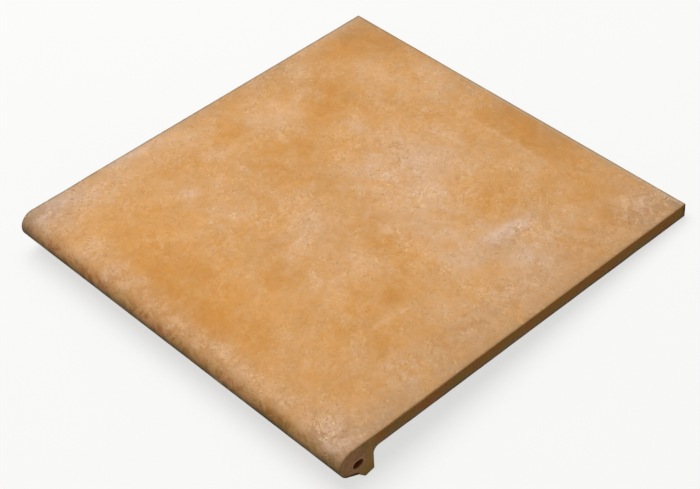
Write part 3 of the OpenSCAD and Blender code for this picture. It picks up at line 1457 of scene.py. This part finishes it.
def raw_back_material():
    """The underside, the lip and the bore: clay as the die left it, with release dust, and
    dark red-brown painted shade inside the bore.
    """
    tree, shader, place = clay_material("raw underside")
    grain = place_group(tree, clay_grain, place, Cloud_Scale=22.0)
    lines = place_group(tree, drag_lines, place, Stretch=(0.03, 1.0, 1.0), Fineness=420.0)
    sizes = {"Clouds": 1.0, "Curds": 0.3, "Crumbs": 1.0}
    dust = place_group(tree, ragged_dust, place, Amount=0.3, **sizes)["Mask"]
    olive = ramp(tree, dust, (176, 122, 66), (214, 178, 142))
    orange = ramp(tree, dust, (190, 128, 66), (222, 180, 138))
    colour = blend(tree, between(tree, grain["Tone"], 0.34, 0.66), olive, orange)
    colour = lay(tree, colour, lines["Tone"], (158, 108, 62), 0.4)
    colour = lay(tree, colour, grain["Fleck"], (226, 192, 152), 0.4)
    # The pits are painted dark: painted shade.
    colour = lay(tree, colour, grain["Pit"], (104, 72, 40), 0.6)
    # Painted shade: dark red-brown inside the bore.
    colour = lay(tree, colour, painted(tree, "bore"), (138, 43, 1), 0.96)
    roughness = plus(tree, times(tree, dust, 0.14), 0.84)
    height = plus(tree, grain["Height"], lines["Height"])
    finish_surface(tree, shader, colour, roughness, height, 0.00025)
    return tree


print("nodes of the raw back:", len(raw_back_material().nodes))
print("materials:", [material.name for material in tile_mesh.materials])

# %% [markdown]
# ## The studio
#
# A long lens from the front right and well above shows the walking face, the round of the
# nosing and the right end at once. The camera leans a little, as the tile was laid slightly
# across the table. A big soft lamp hangs overhead, a little to the left, so that the face is
# bright, the round of the nosing fades into shade and the right end is darker still. The
# tile lies on a light table, as catalogue pieces often do: white paper, lit from below, in
# which the shadow stays pale.

# %% Camera
AIM = world_point(189.6, -190.1, -1.7)
AZIMUTH = math.radians(51.27)
ELEVATION = math.radians(44.36)
DISTANCE = 1.367
LEAN = math.radians(-7.17)
SENSOR_WIDTH = 36.0
FOCAL_LENGTH = 101.89

away = Vector((
    math.sin(AZIMUTH) * math.cos(ELEVATION),
    -math.cos(AZIMUTH) * math.cos(ELEVATION),
    math.sin(ELEVATION),
))
camera_data = bpy.data.cameras.new("camera")
camera_data.sensor_width = SENSOR_WIDTH
camera_data.lens = FOCAL_LENGTH
camera = bpy.data.objects.new("camera", camera_data)
camera.location = AIM + away * DISTANCE
facing = (-away).to_track_quat("-Z", "Y").to_matrix()
camera.rotation_euler = (facing @ Matrix.Rotation(LEAN, 3, "Z")).to_euler()
bpy.context.scene.collection.objects.link(camera)
bpy.context.scene.camera = camera
print("camera stands at, m:", [round(value, 4) for value in camera.location])

# %% The paper of the floor
PAPER_GLOW = 0.665
PAPER_THIN = (0.22, 0.22, 0.217, 1)
PAPER_THICK = (0.24, 0.24, 0.237, 1)
PAPER_BOUNCE = (0.30, 0.29, 0.28, 1)
PAPER_LIGHT = (1.0, 1.0, 0.985, 1)


def floor_material():
    """
    A matt white sheet that is lit a little from below, as a light table is, so the shadow of
    the tile stays pale. The glow is only for the camera. Light that bounces meets one plain
    and darker tone, as if the sheet ended just past the tile.
    """
    material = bpy.data.materials.new("light table")
    material.use_nodes = True
    tree = material.node_tree
    shader = tree.nodes["Principled BSDF"]
    shader.inputs["Roughness"].default_value = 0.95
    shader.inputs["Specular IOR Level"].default_value = 0.1
    shader.inputs["Emission Color"].default_value = PAPER_LIGHT
    place = tree.nodes.new("ShaderNodeTexCoord").outputs["Object"]
    seen = blend(tree, noise(tree, place, 3.0, 3.0, 0.5), PAPER_THIN, PAPER_THICK)
    to_camera = tree.nodes.new("ShaderNodeLightPath").outputs["Is Camera Ray"]
    feed(tree, blend(tree, to_camera, PAPER_BOUNCE, seen), shader.inputs["Base Color"])
    feed(tree, times(tree, to_camera, PAPER_GLOW), shader.inputs["Emission Strength"])
    return material


# %% Floor
FLOOR_HALF = 12.0
CORNER_SIGNS = ((-1, -1), (1, -1), (1, 1), (-1, 1))
floor_corners = [(x * FLOOR_HALF, y * FLOOR_HALF, 0) for x, y in CORNER_SIGNS]
floor_mesh = bpy.data.meshes.new("floor")
floor_mesh.from_pydata(floor_corners, [], [(0, 1, 2, 3)])
floor_mesh.materials.append(floor_material())
floor = bpy.data.objects.new("floor", floor_mesh)
bpy.context.scene.collection.objects.link(floor)
print("floor, m wide:", 2 * FLOOR_HALF)

# %% Lamp
LAMP_DIRECTION = (-0.34, 0.10, 0.93)
LAMP_DISTANCE = 3.2
LAMP_SIZE = 2.9
LAMP_WATTS = 119.3

lamp_data = bpy.data.lights.new("soft box", "AREA")
lamp_data.size = LAMP_SIZE
lamp_data.energy = LAMP_WATTS
lamp = bpy.data.objects.new("soft box", lamp_data)
towards_lamp = Vector(LAMP_DIRECTION).normalized()
lamp.location = towards_lamp * LAMP_DISTANCE
lamp.rotation_euler = (-towards_lamp).to_track_quat("-Z", "Y").to_euler()
bpy.context.scene.collection.objects.link(lamp)
print("lamp stands at, m:", [round(value, 2) for value in lamp.location])

# %% Surroundings
ROOM_COLOUR = (1.0, 0.99, 0.975, 1)
ROOM_LIGHT = 0.35
ROOM_SEEN = 0.85


def surroundings():
    """A plain pale room: it lights the scene by one strength and shows in another."""
    world = bpy.data.worlds.new("pale room")
    world.use_nodes = True
    tree = world.node_tree
    shader = tree.nodes["Background"]
    shader.inputs["Color"].default_value = ROOM_COLOUR
    to_camera = tree.nodes.new("ShaderNodeLightPath").outputs["Is Camera Ray"]
    strength = plus(tree, times(tree, to_camera, ROOM_SEEN - ROOM_LIGHT), ROOM_LIGHT)
    feed(tree, strength, shader.inputs["Strength"])
    return world


bpy.context.scene.world = surroundings()
bpy.context.scene.view_settings.view_transform = "Standard"
print("surroundings:", bpy.context.scene.world.name)
